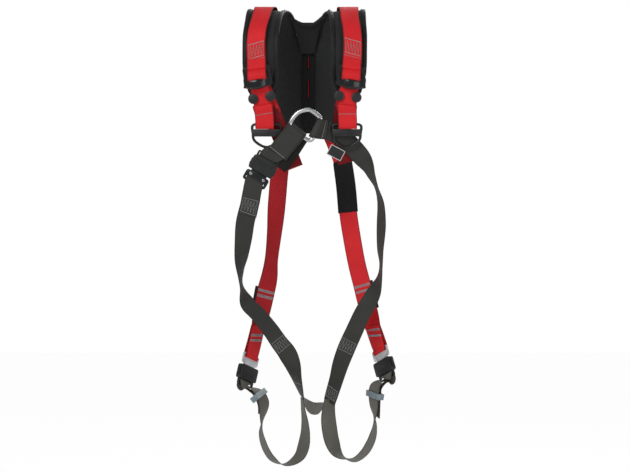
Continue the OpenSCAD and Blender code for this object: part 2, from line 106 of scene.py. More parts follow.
world = bpy.data.worlds.new("pale room")
scene.world = world
world.use_nodes = True
air = world.node_tree
air.nodes.clear()
rays = add(air, "ShaderNodeLightPath")
seen = add(air, "ShaderNodeMath", {"operation": "MAXIMUM"},
           {0: rays.outputs["Is Camera Ray"], 1: rays.outputs["Is Transmission Ray"]})
room = add(air, "ShaderNodeBackground", {"Color": linear("#F4F5F7"), "Strength": 0.4})
white = add(air, "ShaderNodeBackground", {"Color": (1, 1, 1, 1), "Strength": 1.0})
both = add(air, "ShaderNodeMixShader", {}, {0: seen.outputs[0], 1: room.outputs[0], 2: white.outputs[0]})
add(air, "ShaderNodeOutputWorld", {}, {"Surface": both.outputs[0]})

floor_mesh = bpy.data.meshes.new("floor")
floor_mesh.from_pydata([(-9, -9, -1.3), (9, -9, -1.3), (9, 9, -1.3), (-9, 9, -1.3)], [], [(0, 1, 2, 3)])
floor = bpy.data.objects.new("floor", floor_mesh)
scene.collection.objects.link(floor)
paper, tree = blank("matt white paper")
rays = add(tree, "ShaderNodeLightPath")
lit = add(tree, "ShaderNodeBsdfDiffuse", {"Color": linear("#F2F2F2")})
glow = add(tree, "ShaderNodeEmission", {"Color": (1, 1, 1, 1), "Strength": 1.025})
part = add(tree, "ShaderNodeMath", {"operation": "MULTIPLY_ADD", 1: 0.6, 2: 0.34}, {0: rays.outputs["Is Camera Ray"]})
both = add(tree, "ShaderNodeMixShader", {}, {0: part.outputs[0], 1: lit.outputs[0], 2: glow.outputs[0]})
add(tree, "ShaderNodeOutputMaterial", {}, {"Surface": both.outputs[0]})
floor_mesh.materials.append(paper)

# ---------- Yoke pads ----------
# Two foam pads in black spacer mesh, one over each shoulder, that meet down the back. Each is cut flat,
# filled with 10 mm foam and bound round its edge with a folded tape. A row is a point on the pad's middle
# line in mm, the angle of its width about Z and above the horizontal, its width and its thickness.
PAD = [
    [-143, -197, -38, -5, 0, 20], [-130, -198, -30, -5, 0, 58], [-113, -199, -8, -6, 0, 76],
    [-113, -199, 30, -8, 0, 80],
    [-113, -197, 66, -10, 0, 81], [-112, -187, 100, -10, 0, 82], [-108, -160, 133, -6, 0, 82],
    [-104, -125, 158, 0, -2, 84], [-98, -88, 166, 4, -3, 88], [-87, -57, 150, 8, -4, 95],
    [-68, -37, 110, 10, -4, 96], [-50, -27, 66, 6, 0, 94], [-45, -24, 10, 3, 0, 90],
    [-43.5, -23.5, -45, 0, 0, 86], [-31, -23.5, -98, 0, 0, 60], [-25, -23.5, -129, 0, 0, 48]
]
WEB = 44
PAD_WIDE = 80
PAD_THICK = 10
BINDING = 12
BINDING_PLACE = 0.92
SKEW = 0.084


def full_row(row, width=WEB, thick=2.0):
    """A row with all seven of its numbers."""
    row = list(row)
    return row + [0, 0, width, thick][len(row) - 3 :] if len(row) < 7 else row


def mirrored(rows):
    """The same strap or pad on the other side, with the little turn that the harness hangs at."""
    return [[-r[0] + SKEW * r[1], r[1], r[2], -r[3], -r[4], r[5], r[6]] for r in map(full_row, rows)]


def between(before, here, there, after, t):
    """A point or row part of the way, t, from here to there on a smooth curve through all four."""
    return [0.5 * (2 * q + (r - p) * t + (2 * p - 5 * q + 4 * r - s) * t * t + (3 * q - p - 3 * r + s) * t**3)
            for p, q, r, s in zip(before, here, there, after)]


def smooth_rows(rows, fine, width=WEB, thick=2.0):
    """Rows on a smooth curve through the given ones, so many to each gap."""
    f = [full_row(r, width, thick) for r in rows]
    last = len(f) - 1
    out = []
    for i in range(last):
        near = f[max(i - 1, 0)], f[i], f[i + 1], f[min(i + 2, last)]
        out += [between(*near, j / fine) for j in range(fine)]
    return out + [f[last]]


def frames(rows):
    """For each smooth row: its point, direction along, side and face, and its size, in metres."""
    points = [Vector(r[:3]) / 1000 for r in rows]
    out = []
    for i, r in enumerate(rows):
        ahead = (points[min(i + 1, len(rows) - 1)] - points[max(i - 1, 0)]).normalized()
        turn, lift = math.radians(r[3]), math.radians(r[4])
        a = Vector((math.cos(turn) * math.cos(lift), math.sin(turn) * math.cos(lift), math.sin(lift)))
        side = (a - a.dot(ahead) * ahead).normalized()
        out.append((points[i], ahead, side, ahead.cross(side), r[5] / 1000, r[6] / 1000))
    return out


def new_piece(name, verts, faces, materials=(), uvs=None):
    """A closed mesh object at the origin, with its place in its mesh and its faces outwards."""
    mesh = bpy.data.meshes.new(name)
    mesh.from_pydata(verts, [], faces)
    if uvs:
        layer = mesh.uv_layers.new(name="cloth")
        for loop in mesh.loops:
            layer.data[loop.index].uv = uvs[loop.vertex_index]
    for m in materials:
        mesh.materials.append(m)
    mesh.validate()
    mesh.shade_smooth()
    bm = bmesh.new()
    bm.from_mesh(mesh)
    if bm.calc_volume(signed=True) < 0:
        bmesh.ops.reverse_faces(bm, faces=bm.faces)
    bm.to_mesh(mesh)
    bm.free()
    piece = bpy.data.objects.new(name, mesh)
    scene.collection.objects.link(piece)
    return piece


def swept(name, rows, profile, materials=(), fine=6, width=WEB, thick=2.0):
    """A closed form along the rows. The profile lists, round the section, its place across from -1 to 1 and
    its place through from -1 to 1."""
    f = frames(smooth_rows(rows, fine, width, thick))
    verts, uvs, faces = [], [], []
    m = len(profile)
    run = 0.0
    for i, (p, ahead, side, face, w, t) in enumerate(f):
        if i:
            run += (p - f[i - 1][0]).length
        for across, through in profile:
            verts.append(p + side * across * w / 2 + face * through * t / 2)
            uvs.append((across * w / 2, run))
    for i in range(len(f) - 1):
        for k in range(m):
            a, b = i * m + k, i * m + (k + 1) % m
            faces.append((a, a + m, b + m, b))
    faces.append(tuple(range(m)))
    faces.append(tuple(reversed(range((len(f) - 1) * m, len(f) * m))))
    return new_piece(name, verts, faces, materials, uvs)


def pad_cloth(name, dark="#060607", light="#1C1D1F"):
    """Black warp-knit spacer mesh over foam: a matt knit of small open cells, 3 mm apart, that shows a soft
    grey sheen where light grazes it."""
    m, t = blank(name)
    place = add(t, "ShaderNodeTexCoord").outputs["Object"]
    cells = add(t, "ShaderNodeTexVoronoi", {"Scale": 330.0, "feature": "F1"}, {"Vector": place})
    hole = add(t, "ShaderNodeMapRange", {"From Min": 0.1, "From Max": 0.62}, {"Value": cells.outputs["Distance"]})
    cloudy = add(t, "ShaderNodeTexNoise", {"Scale": 38.0, "Detail": 4.0}, {"Vector": place})
    mixed = add(t, "ShaderNodeMath", {"operation": "MULTIPLY_ADD", 1: 0.55, 2: 0.0}, {0: hole.outputs[0]})
    total = add(t, "ShaderNodeMath", {"operation": "MULTIPLY_ADD", 1: 0.6},
                {0: cloudy.outputs["Fac"], 2: mixed.outputs[0]})
    colour = add(t, "ShaderNodeMix", {"data_type": "RGBA", 6: linear(dark), 7: linear(light)}, {0: total.outputs[0]})
    bump = add(t, "ShaderNodeBump", {"Strength": 0.5, "Distance": 0.0009}, {"Height": hole.outputs[0]})
    shader = add(t, "ShaderNodeBsdfPrincipled", {"Roughness": 0.8, "Sheen Weight": 0.06, "Sheen Roughness": 0.5},
                 {"Base Color": colour.outputs[2], "Normal": bump.outputs[0]})
    add(t, "ShaderNodeOutputMaterial", {}, {"Surface": shader.outputs[0]})
    return m


def webbing(name, base, dark, edge, rib=4.4, rough=0.72, sheen=0.22):
    """Polyester webbing, woven flat on a narrow loom: long warp ribs, crossed by fine picks that slant a
    little, with a tight selvedge. The ribs are drawn 4.4 mm apart, twice the real size, so that they show."""
    m, t = blank(name)
    cloth = add(t, "ShaderNodeUVMap", {"uv_map": "cloth"})
    split = add(t, "ShaderNodeSeparateXYZ", {}, {0: cloth.outputs[0]})
    u, v = split.outputs[0], split.outputs[1]
    turns = add(t, "ShaderNodeMath", {"operation": "MULTIPLY", 1: 2000 * math.pi / rib}, {0: u})
    ribs = add(t, "ShaderNodeMath", {"operation": "SINE"}, {0: turns.outputs[0]})
    slant = add(t, "ShaderNodeMath", {"operation": "MULTIPLY_ADD", 1: 0.5}, {0: u, 2: v})
    fine = add(t, "ShaderNodeMath", {"operation": "MULTIPLY", 1: 2000 * math.pi / 2.6}, {0: slant.outputs[0]})
    picks = add(t, "ShaderNodeMath", {"operation": "SINE"}, {0: fine.outputs[0]})
    woven = add(t, "ShaderNodeMath", {"operation": "MULTIPLY_ADD", 1: 0.35}, {0: picks.outputs[0], 2: ribs.outputs[0]})
    level = add(t, "ShaderNodeMapRange", {"From Min": -1.3, "From Max": 1.3}, {"Value": woven.outputs[0]})
    place = add(t, "ShaderNodeTexCoord").outputs["Object"]
    soft = add(t, "ShaderNodeTexNoise", {"Scale": 26.0, "Detail": 5.0, "Roughness": 0.6}, {"Vector": place})
    fibre = add(t, "ShaderNodeTexNoise", {"Scale": 900.0, "Detail": 2.0}, {"Vector": place})
    blend = add(t, "ShaderNodeMath", {"operation": "MULTIPLY_ADD", 1: 0.42, 2: 0.2}, {0: level.outputs[0]})
    blend = add(t, "ShaderNodeMath", {"operation": "MULTIPLY_ADD", 1: 0.62},
                {0: soft.outputs["Fac"], 2: blend.outputs[0]})
    body = add(t, "ShaderNodeMix", {"data_type": "RGBA", 6: linear(dark), 7: linear(base)}, {0: blend.outputs[0]})
    far = add(t, "ShaderNodeMath", {"operation": "ABSOLUTE"}, {0: u})
    selvedge = add(t, "ShaderNodeMapRange", {"From Min": 0.0188, "From Max": 0.0212}, {"Value": far.outputs[0]})
    faint = add(t, "ShaderNodeMath", {"operation": "MULTIPLY", 1: 0.7}, {0: selvedge.outputs[0]})
    colour = add(t, "ShaderNodeMix", {"data_type": "RGBA", 7: linear(edge)}, {0: faint.outputs[0], 6: body.outputs[2]})
    height = add(t, "ShaderNodeMath", {"operation": "MULTIPLY_ADD", 1: 0.3},
                 {0: fibre.outputs["Fac"], 2: level.outputs[0]})
    bump = add(t, "ShaderNodeBump", {"Strength": 0.45, "Distance": 0.0006}, {"Height": height.outputs[0]})
    shader = add(t, "ShaderNodeBsdfPrincipled", {"Roughness": rough, "Specular IOR Level": 0.25, "Sheen Weight": sheen,
                                                 "Sheen Roughness": 0.45},
                 {"Base Color": colour.outputs[2], "Normal": bump.outputs[0]})
    add(t, "ShaderNodeOutputMaterial", {}, {"Surface": shader.outputs[0]})
    return m


knit = pad_cloth("black spacer mesh")
binding_tape = webbing("black binding tape", "#1B1C1D", "#0B0C0C", "#111213", rib=3.0, rough=0.5, sheen=0.05)
BOW = [(-1, 0), (-0.97, 0.42), (-0.86, 0.74), (-0.66, 0.93), (-0.34, 1.0), (0, 1.0), (0.34, 1.0), (0.66, 0.93),
       (0.86, 0.74), (0.97, 0.42), (1, 0), (0.97, -0.42), (0.86, -0.74), (0.66, -0.93), (0.34, -1.0), (0, -1.0),
       (-0.34, -1.0), (-0.66, -0.93), (-0.86, -0.74), (-0.97, -0.42)]


def made_plain(piece):
    """The mesh that a piece's modifiers give, with the modifiers taken off the piece."""
    bpy.context.view_layer.update()
    mesh = bpy.data.meshes.new_from_object(piece.evaluated_get(bpy.context.evaluated_depsgraph_get()))
    piece.modifiers.clear()
    return mesh


def swell(piece, cap, pressure=4.0):
    """Fills a pad as foam fills its cover: a cloth simulation under pressure, on an even mesh, in which no
    point moves further than the cap."""
    remesh = piece.modifiers.new("even", "REMESH")
    remesh.mode = "VOXEL"
    remesh.voxel_size = 0.005
    even = made_plain(piece)
    piece.data = even
    start = [v.co.copy() for v in even.vertices]
    cloth = piece.modifiers.new("foam", "CLOTH")
    cloth.settings.use_pressure = True
    cloth.settings.uniform_pressure_force = pressure
    cloth.settings.effector_weights.gravity = 0
    cloth.settings.quality = 5
    cloth.point_cache.frame_start = 1
    cloth.point_cache.frame_end = 20
    for number in range(1, 21):
        scene.frame_set(number)
    done = made_plain(piece)
    for v, w, s in zip(even.vertices, done.vertices, start):
        move = w.co - s
        if move.length > cap:
            move = move.normalized() * cap
        v.co = s + move
    scene.frame_set(1)


def edge_rows(rows, where, size):
    """The rows of a narrow strip along one edge of a wider one."""
    out = []
    smooth = smooth_rows(rows, 3, PAD_WIDE, PAD_THICK)
    for (p, ahead, side, face, w, t), r in zip(frames(smooth), smooth):
        q = (p + side * where * (w / 2)) * 1000
        out.append([q.x, q.y, q.z, r[3], r[4], size, PAD_THICK * 0.72])
    return out


for end, rows in (("left", PAD), ("right", mirrored([full_row(r, PAD_WIDE, PAD_THICK) for r in PAD]))):
    slim = [r[:5] + [r[5] - 2, 7.2] for r in (full_row(r, PAD_WIDE, PAD_THICK) for r in rows)]
    pad = swept("pad_" + end, slim, BOW, [], fine=6)
    swell(pad, 0.0024)
    pad.data.materials.clear()
    pad.data.materials.append(knit)
    pad.data.shade_smooth()
    finer = pad.modifiers.new("finer", "SUBSURF")
    finer.levels = finer.render_levels = 1
    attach(pad, "harness")
    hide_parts("yoke_pad_" + end)
    for number, where in ((1, -1), (2, 1)):
        tape = edge_rows(rows, where * BINDING_PLACE, BINDING)
        strip = swept(f"pad_binding_{end}_{number}", tape, BOW, [binding_tape], fine=2)
        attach(strip, "harness")

NECK = [[-3, -56.8, 144, 0, 0, 70], [-3, -52.5, 134, 0, 0, 62], [-3, -48, 124, 0, 0, 56],
        [-2.5, -45, 111, 0, 0, 50], [-2, -40.5, 92, 0, 0, 42], [-1.5, -35.6, 71, 0, 0, 32]]
# The neck panel takes a darker copy of the pads' black mesh: painted shade of the yoke's inside.
shaded_lining = pad_cloth("black lining mesh", "#040405", "#121314")
neck = swept("neck_pad", NECK, BOW, [shaded_lining], 6, 50, 3)
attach(neck, "harness")
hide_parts("neck_panel")
RIM = [[-62, -62, 172], [-50, -60, 161], [-40, -58.6, 152], [-28, -58, 144.6], [-15, -57.8, 139.4], [-3, -57.6, 137.4],
       [9, -57.6, 137.8], [20, -58, 143.6], [31, -58.6, 152.6], [42, -60, 162], [54, -62, 173]]
rim = swept("neck_binding", [r + [90, 90, 10, 6] for r in RIM], BOW, [binding_tape], 4)
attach(rim, "harness")

# ---------- Spine tape ----------
# A black tape sewn down the middle of the back, over the pads' meeting edges. It is left open at two slots,
# through which the red straps' crossing shows.
black_weave = webbing("black polyester tape", "#121314", "#08090A", "#0C0D0E", rib=4.4, rough=0.7, sheen=0.03)
FLAT = [
    (-1, 0), (-0.985, 0.55), (-0.95, 0.85), (-0.87, 1.0), (-0.6, 1.0), (-0.3, 1.0), (0, 1.0), (0.3, 1.0),
    (0.6, 1.0), (0.87, 1.0), (0.95, 0.85), (0.985, 0.55), (1, 0), (0.985, -0.55), (0.95, -0.85), (0.87, -1.0),
    (0.6, -1.0), (0.3, -1.0), (0, -1.0), (-0.3, -1.0), (-0.6, -1.0), (-0.87, -1.0), (-0.95, -0.85), (-0.985, -0.55)
]
TAPE = 12
tapes = []
for end, x in (("left", -9), ("right", 9)):
    rows = [[x, -31.6, 66, 0], [x, -31.8, 0, 0], [x, -31.6, -112, 0]]
    tapes.append(swept("spine_tapes_" + end, rows, FLAT, [black_weave], 8, TAPE))
for name, z, high in (("spine_bridge_top", 70, 16), ("spine_bridge_middle", 20, 26), ("spine_bridge_low", -75, 72)):
    bridge = swept(name, [[0, -31.7, z + high / 2, 0], [0, -31.7, z - high / 2, 0]], FLAT, [black_weave], 4, TAPE, 1.8)
    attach(bridge, "harness")
for piece in tapes:
    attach(piece, "harness")
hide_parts("spine_tape")

# ---------- Main straps ----------
# Two red straps, each from its adjuster over a shoulder, across the other at the back, to the opposite hip.
# They are 44 mm polyester webbing, sewn into a loop round the adjuster with a box and zigzag of grey thread.
SHOULDER = [
    [-123, -210.6, 78, -4], [-122, -210.4, 56, -3], [-121, -214, 30, 0, 4], [-121, -219.8, 16, 0, 8],
    [-121, -220, 8, 0, 8], [-121, -223.4, 4, 0, 8], [-121, -226.8, 8, 0, 8], [-121, -226.8, 20, 0, 8],
    [-122, -219, 36, -2, 4], [-123, -214, 56, -4], [-123, -213, 78, -6], [-120, -201, 111, -8],
    [-113, -169, 142, -6], [-108, -128, 168, 0, 0, 46], [-102, -88, 176, 4, 0, 50], [-92, -49, 159, 8],
    [-72, -24, 118, 10]
]
REAR_TO_RIGHT = [
    [-45, -12, 66, 8], [0, -11.2, 0, 0], [33, -11.8, -75, -4], [53, -14.4, -118, -8], [68, -22, -153, -10],
    [86, -34, -208, -14], [97, -58, -320, -10],
    [107, -75, -388, -14], [118, -90, -448, -18], [130, -103, -496, -16], [139, -113, -533, -12],
    [148, -120, -568, -20], [153, -124, -588, -30]
]
REAR_TO_LEFT = [
    [45, -15.4, 66, -8], [0, -14, 0, 0], [-30, -14.4, -75, 4], [-49, -16, -118, 8], [-60, -22, -153, 10],
    [-70, -33, -210, 12], [-77, -48, -290, 10],
    [-82.5, -67, -363, 35], [-89.5, -83, -432, 46], [-94, -94, -474, 30], [-102, -105, -510, 16],
    [-112, -115, -556, 20], [-119, -121, -588, 40]
]
red_weave = webbing("red polyester webbing", "#E8232A", "#B4141B", "#5A1418", sheen=0.02, rough=0.6)
# A darker copy of the red webbing, for painted shade on the straps' runs across the back.
painted_shade_red = webbing("red polyester webbing, painted shade", "#B81C24", "#8C1219", "#3C1414", sheen=0.02, rough=0.65)


def strap(name, rows, weave, nodes=(), body="harness", fine=6, width=WEB, thick=2.0):
    """A strap that rides on one body and stands for its nodes."""
    piece = swept(name, rows, FLAT, [weave], fine, width, thick)
    if body:
        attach(piece, body)
    if nodes:
        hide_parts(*nodes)
    return piece


MAIN_LEFT = SHOULDER + REAR_TO_RIGHT + [[155.6, -124.8, -601, -33]]
MAIN_RIGHT = mirrored(SHOULDER) + REAR_TO_LEFT + [[-121, -120.6, -601, 43]]
for end, rows in (("left", MAIN_LEFT), ("right", MAIN_RIGHT)):
    piece = strap("main_webbing_" + end, rows, red_weave, ["main_strap_" + end])
    piece.data.materials.append(painted_shade_red)
    # Faces across the back, and the right strap's whole rear run to the left hip, take the darker red: painted shade.
    for face in piece.data.polygons:
        inside = face.center.y > -0.09 and face.center.z > -0.15
        face.material_index = 1 if inside or (end == "right" and face.center.z < -0.1) else 0
# Thin red strips in the spine tape's slots, in a darker red than the straps: painted shade of the recess.
SLIT_SHADE_RED = webbing("red webbing in the slits, painted shade", "#A81A20", "#7E1217", "#6A1014", sheen=0.0, rough=0.8)
for name, top, foot in (("slit_upper", 62, 34), ("slit_lower", 7, -38)):
    strap(name, [[0, -31.2, top, 0], [0, -31.2, foot, 0]], SLIT_SHADE_RED, width=2, thick=1)


def sewing_tree():
    """Geometry Nodes: a line of thread as separate raised stitches, each a small capsule along the line."""
    g = bpy.data.node_groups.new("sewing", "GeometryNodeTree")
    g.interface.new_socket("Seam", in_out="INPUT", socket_type="NodeSocketGeometry")
    for name, value in (("Stitch pitch", 0.0042), ("Stitch length", 0.0038), ("Thread thickness", 0.0013)):
        g.interface.new_socket(name, in_out="INPUT", socket_type="NodeSocketFloat").default_value = value
    g.interface.new_socket("Thread", in_out="INPUT", socket_type="NodeSocketMaterial")
    g.interface.new_socket("Stitches", in_out="OUTPUT", socket_type="NodeSocketGeometry")
    into = add(g, "NodeGroupInput")
    line = add(g, "GeometryNodeMeshToCurve", {}, {"Mesh": into.outputs["Seam"]})
    spaced = add(g, "GeometryNodeCurveToPoints", {"mode": "LENGTH"},
                 {"Curve": line.outputs[0], "Length": into.outputs["Stitch pitch"]})
    ball = add(g, "GeometryNodeMeshUVSphere", {"Segments": 6, "Rings": 5, "Radius": 0.5})
    size = add(g, "ShaderNodeCombineXYZ", {}, {0: into.outputs["Thread thickness"],
                                               1: into.outputs["Thread thickness"], 2: into.outputs["Stitch length"]})
    turned = add(g, "FunctionNodeAlignRotationToVector", {"axis": "Z"}, {"Vector": spaced.outputs["Tangent"]})
    many = add(g, "GeometryNodeInstanceOnPoints", {},
               {"Points": spaced.outputs["Points"], "Instance": ball.outputs[0], "Rotation": turned.outputs[0],
                "Scale": size.outputs[0]})
    real = add(g, "GeometryNodeRealizeInstances", {}, {0: many.outputs[0]})
    shaded = add(g, "GeometryNodeSetShadeSmooth", {}, {0: real.outputs[0]})
    coated = add(g, "GeometryNodeSetMaterial", {}, {"Geometry": shaded.outputs[0], "Material": into.outputs["Thread"]})
    add(g, "NodeGroupOutput", {}, {0: coated.outputs[0]})
    return g


sewing = sewing_tree()


def thread(name, base, dark):
    """Bonded nylon sewing thread, twisted: satin, with darker gaps between its strands."""
    m, t = blank(name)
    place = add(t, "ShaderNodeTexCoord").outputs["Object"]
    strands = add(t, "ShaderNodeTexNoise", {"Scale": 700.0, "Detail": 2.0}, {"Vector": place})
    colour = add(t, "ShaderNodeMix", {"data_type": "RGBA", 6: linear(dark), 7: linear(base)},
                 {0: strands.outputs["Fac"]})
    shader = add(t, "ShaderNodeBsdfPrincipled", {"Roughness": 0.5}, {"Base Color": colour.outputs[2]})
    add(t, "ShaderNodeOutputMaterial", {}, {"Surface": shader.outputs[0]})
    return m


grey_thread = thread("light grey thread", "#BFC1C1", "#868A8A")
blue_thread = thread("bluish grey thread", "#B9C4C9", "#77858B")
dark_thread = thread("dark grey thread", "#A3A3A1", "#6C6C6A")


def on_strap(rows, place, across, proud=0.2):
    """The point on the strap's front at a place in its list of rows, such as 3.5, and across it from -1 to 1."""
    fine = 40
    f = frames(smooth_rows(rows, fine))
    p, ahead, side, face, w, t = f[max(0, min(len(f) - 1, round(place * fine)))]
    sign = 1 if face.y < 0 else -1
    return p + side * across * w / 2 + face * sign * (t / 2 + proud / 1000)


def sew(name, rows, lines, colour=grey_thread, pitch=0.0042, size=0.0013):
    """Lines of stitches on a strap's front. Each line is a list of (place, across) corners."""
    verts, edges = [], []
    for line in lines:
        for (p0, a0), (p1, a1) in zip(line, line[1:]):
            steps = max(2, int(8 * (abs(p1 - p0) + abs(a1 - a0))))
            for s in range(steps):
                q = s / steps
                verts.append(on_strap(rows, p0 + (p1 - p0) * q, a0 + (a1 - a0) * q))
                edges.append((len(verts) - 1, len(verts)))
        verts.append(on_strap(rows, *line[-1]))
    seam = bpy.data.meshes.new(name)
    seam.from_pydata(verts, edges, [])
    piece = bpy.data.objects.new(name, seam)
    scene.collection.objects.link(piece)
    mod = piece.modifiers.new("sewing", "NODES")
    mod.node_group = sewing
    sizes = {"Stitch pitch": pitch, "Stitch length": pitch * 0.92, "Thread thickness": size, "Thread": colour}
    for item in sewing.interface.items_tree:
        if item.in_out == "INPUT" and item.name in sizes:
            mod[item.identifier] = sizes[item.name]
    piece.data = made = made_plain(piece)
    if not made.materials:
        made.materials.append(colour)
    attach(piece, "harness")


def box_sewing(name, rows, start, end, tilt=0.0, wide=0.8, zigs=9, bar=0.0024, colour=grey_thread):
    """A sewn box: two heavy bars across the strap, fine lines along it and a fine zigzag inside them."""
    corner = {(a, b): (a + tilt * b, b * wide) for a in (start, end) for b in (-1, 1)}
    bars = [[corner[a, -1], corner[a, 1]] for a in (start, end)]
    sides = [[corner[start, b], corner[end, b]] for b in (-1, 1)]
    across = [(start + (end - start) * (0.12 if i % 2 else 0.88) + tilt * (2 * q - 1), wide * (2 * q - 1) * 0.9)
              for i, q in enumerate([k / zigs for k in range(zigs + 1)])]
    sew(name + "_bars", rows, bars, colour, pitch=0.0026, size=bar)
    sew(name + "_sides", rows, sides, dark_thread, pitch=0.0032, size=0.0012)
    sew(name + "_zigzag", rows, [across], dark_thread, pitch=0.0034, size=0.0013)


box_sewing("shoulder_sewing_left", MAIN_LEFT, 9.9, 8.3, tilt=0.2)
box_sewing("shoulder_sewing_right", MAIN_RIGHT, 10.15, 8.7, tilt=-0.17)
sew("shoulder_line_left", MAIN_LEFT, [[(7.85, -0.85), (8.2, 0.85)]], dark_thread)
sew("shoulder_line_right", MAIN_RIGHT, [[(8.55, -0.85), (8.2, 0.85)]], dark_thread)

# ---------- Dorsal attachment ----------
# The fall-arrest ring between the shoulders: a forged steel D whose straight bar lies in a moulded black
# nylon plate, which also holds the crossing of the main straps.
def nylon(name, base, dark, rough=0.42):
    """Injection-moulded nylon: a fine spark-eroded grain and a dull shine, a little lighter where it is rubbed."""
    m, t = blank(name)
    place = add(t, "ShaderNodeTexCoord").outputs["Object"]
    fine = add(t, "ShaderNodeTexNoise", {"Scale": 1920.0, "Detail": 3.0}, {"Vector": place})
    rubbed = add(t, "ShaderNodeTexNoise", {"Scale": 60.0, "Detail": 5.0}, {"Vector": place})
    level = add(t, "ShaderNodeMapRange", {"From Min": 0.35, "From Max": 0.75}, {"Value": rubbed.outputs["Fac"]})
    colour = add(t, "ShaderNodeMix", {"data_type": "RGBA", 6: linear(dark), 7: linear(base)}, {0: level.outputs[0]})
    gloss = add(t, "ShaderNodeMapRange", {"To Min": rough - 0.08, "To Max": rough + 0.12},
                {"Value": rubbed.outputs["Fac"]})
    bump = add(t, "ShaderNodeBump", {"Strength": 0.25, "Distance": 0.0002}, {"Height": fine.outputs["Fac"]})
    shader = add(t, "ShaderNodeBsdfPrincipled", {"IOR": 1.53},
                 {"Base Color": colour.outputs[2], "Roughness": gloss.outputs[0], "Normal": bump.outputs[0]})
    add(t, "ShaderNodeOutputMaterial", {}, {"Surface": shader.outputs[0]})
    return m


def steel(name, base, dark, rough, metal=1.0):
    """Steel, barrel polished and plated: bright, with faint swirling scratches and duller patches."""
    m, t = blank(name)
    place = add(t, "ShaderNodeTexCoord").outputs["Object"]
    swirl = add(t, "ShaderNodeTexNoise", {"Scale": 420.0, "Detail": 6.0, "Distortion": 2.0}, {"Vector": place})
    patch = add(t, "ShaderNodeTexNoise", {"Scale": 55.0, "Detail": 4.0}, {"Vector": place})
    colour = add(t, "ShaderNodeMix", {"data_type": "RGBA", 6: linear(dark), 7: linear(base)}, {0: patch.outputs["Fac"]})
    gloss = add(t, "ShaderNodeMapRange", {"To Min": rough * 0.7, "To Max": rough * 1.4},
                {"Value": swirl.outputs["Fac"]})
    bump = add(t, "ShaderNodeBump", {"Strength": 0.06, "Distance": 0.0002}, {"Height": swirl.outputs["Fac"]})
    shader = add(t, "ShaderNodeBsdfPrincipled", {"Metallic": metal},
                 {"Base Color": colour.outputs[2], "Roughness": gloss.outputs[0], "Normal": bump.outputs[0]})
    add(t, "ShaderNodeOutputMaterial", {}, {"Surface": shader.outputs[0]})
    return m


def coated(name, base, dark, rough=0.2):
    """Steel under a black coating: glossy black with a grey glint, slightly uneven as dipped coatings are."""
    m, t = blank(name)
    place = add(t, "ShaderNodeTexCoord").outputs["Object"]
    uneven = add(t, "ShaderNodeTexNoise", {"Scale": 180.0, "Detail": 4.0}, {"Vector": place})
    colour = add(t, "ShaderNodeMix", {"data_type": "RGBA", 6: linear(dark), 7: linear(base)},
                 {0: uneven.outputs["Fac"]})
    gloss = add(t, "ShaderNodeMapRange", {"To Min": rough, "To Max": rough + 0.2}, {"Value": uneven.outputs["Fac"]})
    bump = add(t, "ShaderNodeBump", {"Strength": 0.15, "Distance": 0.0003}, {"Height": uneven.outputs["Fac"]})
    shader = add(t, "ShaderNodeBsdfPrincipled", {"Metallic": 0.35, "Coat Weight": 0.3, "Coat Roughness": 0.2},
                 {"Base Color": colour.outputs[2], "Roughness": gloss.outputs[0], "Normal": bump.outputs[0]})
    add(t, "ShaderNodeOutputMaterial", {}, {"Surface": shader.outputs[0]})
    return m


black_nylon = nylon("black moulded nylon", "#1C1D1F", "#0D0E0F")
bright_steel = steel("polished plated steel", "#E4E5E6", "#B9BBBD", 0.2)
plain_steel = steel("plated steel plate", "#F2F3F4", "#C2C6C8", 0.3, metal=0.6)
black_steel = coated("black coated steel", "#202225", "#0B0C0D")

body_for = {n: b for b, nodes in frame["record"]["behaviour"]["bodies"].items() for n in nodes}


def hard_part(node, material, bevel, segments=2):
    """A CAD node's own shape with its edges broken, as cast, pressed or moulded edges are."""
    source = frame["nodes"][node]
    mesh = source.data.copy()
    bm = bmesh.new()
    bm.from_mesh(mesh)
    bmesh.ops.remove_doubles(bm, verts=bm.verts, dist=0.00002)
    bmesh.ops.dissolve_limit(bm, angle_limit=math.radians(1.5), verts=bm.verts, edges=bm.edges)
    bm.to_mesh(mesh)
    bm.free()
    mesh.materials.clear()
    mesh.materials.append(material)
    piece = bpy.data.objects.new(node + "_finished", mesh)
    scene.collection.objects.link(piece)
    edge = piece.modifiers.new("edges", "BEVEL")
    edge.width = bevel
    edge.segments = segments
    edge.limit_method = "ANGLE"
    edge.angle_limit = math.radians(40)
    edge.use_clamp_overlap = True
    piece.data = made = made_plain(piece)
    made.shade_smooth()
    made.set_sharp_from_angle(angle=math.radians(38))
    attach(piece, body_for[node])
    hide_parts(node)
    return piece


def bent_bar(name, corners, centre, d, material, body, nodes=(), sides=16, fine=8):
    """A round bar bent into a closed loop in the XZ plane, through its corners, in mm."""
    m = len(corners)
    line = []
    for i in range(m):
        near = corners[i - 1], corners[i], corners[(i + 1) % m], corners[(i + 2) % m]
        line += [between(*near, j / fine) for j in range(fine)]
    k = len(line)
    verts, faces = [], []
    for i in range(k):
        ahead = Vector((line[(i + 1) % k][0] - line[i - 1][0], line[(i + 1) % k][1] - line[i - 1][1])).normalized()
        out = Vector((ahead.y, -ahead.x))
        for q in range(sides):
            angle = 2 * math.pi * q / sides
            verts.append(Vector((
                centre[0] + line[i][0] + out.x * math.cos(angle) * d / 2,
                centre[1] + math.sin(angle) * d / 2,
                centre[2] + line[i][1] + out.y * math.cos(angle) * d / 2,
            )) / 1000)
    for i in range(k):
        for q in range(sides):
            a, b, c = i * sides + q, i * sides + (q + 1) % sides, ((i + 1) % k) * sides
            faces.append((a, c + q, c + (q + 1) % sides, b))
    piece = new_piece(name, verts, faces, [material])
    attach(piece, body)
    if nodes:
        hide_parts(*nodes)
    return piece


hard_part("dorsal_plate", black_nylon, 0.001)
hard_part("dorsal_ring", bright_steel, 0.0003)

